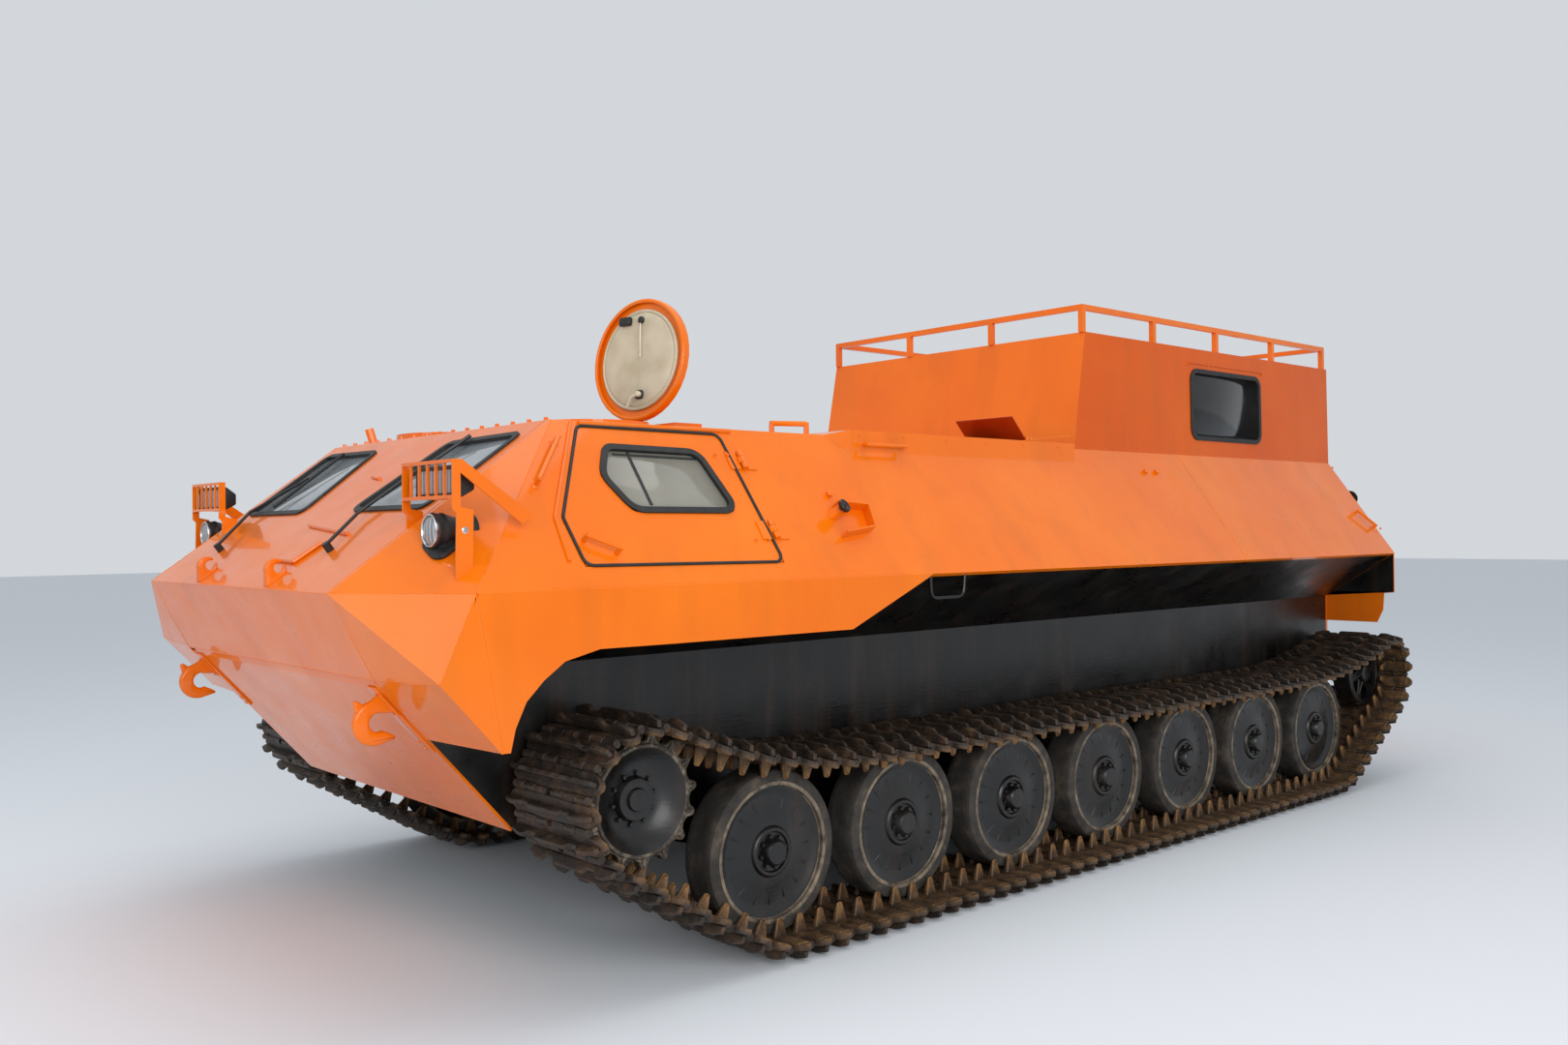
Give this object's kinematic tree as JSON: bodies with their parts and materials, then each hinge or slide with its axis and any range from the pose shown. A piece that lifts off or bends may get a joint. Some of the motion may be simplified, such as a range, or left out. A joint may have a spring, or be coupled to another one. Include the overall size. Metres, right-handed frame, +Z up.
{
  "type": "tracked all-terrain vehicle",
  "caption": "Tracked tractor with a faceted welded hull, wide tracks, opening doors, a round roof hatch and a tall passenger body with a roof rack.",
  "frame": {"origin": "middle of the vehicle's footprint on the ground, halfway along its overall length", "axes": "+Z up, front towards -Y, the vehicle's left side towards +X"},
  "size_m": [3.095, 7.32, 2.92],
  "materials": {
    "orange_paint": "satin",
    "black_paint": "satin",
    "black_rubber": "matte",
    "window_glass": "gloss",
    "dark_iron": "matte",
    "black_plastic": "satin",
    "tyre_rubber": "matte",
    "track_steel": "rough",
    "seat_cloth": "matte",
    "beige_lining": "matte"
  },
  "bodies": {
    "hull": {"body_front": "orange_paint", "body_rear": "orange_paint", "body_roof": "orange_paint", "body_sides": "orange_paint", "bow_plate": "orange_paint", "bulkheads": "orange_paint", "crew_seats": "seat_cloth", "dashboard": "black_plastic", "deck_flap_rods": "orange_paint", "door_hinges": "orange_paint", "engine_block": "dark_iron", "engine_deck": "orange_paint", "final_drives": "black_paint", "fixed_window_seals": "black_rubber", "fixed_windows": "window_glass", "front_corner_plates": "orange_paint", "front_quarter_plates": "orange_paint", "glacis_plate": "orange_paint", "hatch_coamings": "orange_paint", "hatch_hinges": "orange_paint", "headlamp_lenses": "window_glass", "headlamps": "black_plastic", "hull_fittings": "orange_paint", "hull_roof": "orange_paint", "hull_tub": "black_paint", "idler_cranks": "black_paint", "idlers": "black_paint", "lamp_guards": "orange_paint", "lifting_hooks": "orange_paint", "load_floor": "black_paint", "nose_plate": "orange_paint", "rear_flaps": "orange_paint", "rear_hitch": "orange_paint", "rear_wall": "orange_paint", "road_wheel_tyres": "tyre_rubber", "road_wheels": "black_paint", "roof_rack": "orange_paint", "side_panels": "orange_paint", "skirts": "orange_paint", "sponson_floors": "black_paint", "sprockets": "black_paint", "swing_arms": "black_paint", "tow_hooks": "orange_paint", "track_left": "track_steel", "track_right": "track_steel", "wipers": "black_plastic", "work_lamps": "black_plastic"},
    "side_door_left_body": {"side_door_left": "orange_paint", "door_seal_left": "black_rubber", "door_window_left": "window_glass"},
    "side_door_right_body": {"side_door_right": "orange_paint", "door_seal_right": "black_rubber", "door_window_right": "window_glass"},
    "rear_door_left_body": {"rear_door_left": "orange_paint"},
    "rear_door_right_body": {"rear_door_right": "orange_paint"},
    "round_hatch_body": {"round_hatch": "orange_paint", "round_hatch_lining": "beige_lining"},
    "second_hatch_body": {"second_hatch": "orange_paint"},
    "deck_flap_front_body": {"deck_flap_front": "orange_paint"},
    "deck_flap_rear_body": {"deck_flap_rear": "orange_paint"}
  },
  "joints": [
    {"name": "side_door_left_hinge", "type": "hinge", "parent": "hull", "child": "side_door_left_body", "pos_m": [1.24687, -1.944, 1.76787], "axis": [-0.5623, 0, 0.827], "range_deg": [0, 80]},
    {"name": "side_door_right_hinge", "type": "hinge", "parent": "hull", "child": "side_door_right_body", "pos_m": [-1.24687, -1.944, 1.76787], "axis": [-0.5623, 0, -0.827], "range_deg": [0, 80]},
    {"name": "rear_door_left_hinge", "type": "hinge", "parent": "hull", "child": "rear_door_left_body", "pos_m": [0.508, 3.554, 1.3], "axis": [0, 0, -1], "range_deg": [0, 100]},
    {"name": "rear_door_right_hinge", "type": "hinge", "parent": "hull", "child": "rear_door_right_body", "pos_m": [-0.508, 3.554, 1.3], "axis": [0, 0, 1], "range_deg": [0, 100]},
    {"name": "round_hatch_hinge", "type": "hinge", "parent": "hull", "child": "round_hatch_body", "pos_m": [0.54982, -2.08039, 2.151], "axis": [0.9848, 0.1736, 0], "range_deg": [0, 96.5]},
    {"name": "second_hatch_hinge", "type": "hinge", "parent": "hull", "child": "second_hatch_body", "pos_m": [-0.54982, -2.08039, 2.151], "axis": [-0.9848, 0.1736, 0], "range_deg": [0, 96.5]},
    {"name": "deck_flap_front_hinge", "type": "hinge", "parent": "hull", "child": "deck_flap_front_body", "pos_m": [0.85, 0.037, 2.147], "axis": [1, 0, 0], "range_deg": [-44, 46]},
    {"name": "deck_flap_rear_hinge", "type": "hinge", "parent": "hull", "child": "deck_flap_rear_body", "pos_m": [0.85, 0.063, 2.147], "axis": [1, 0, 0], "range_deg": [-5.5, 84.5]}
  ]
}
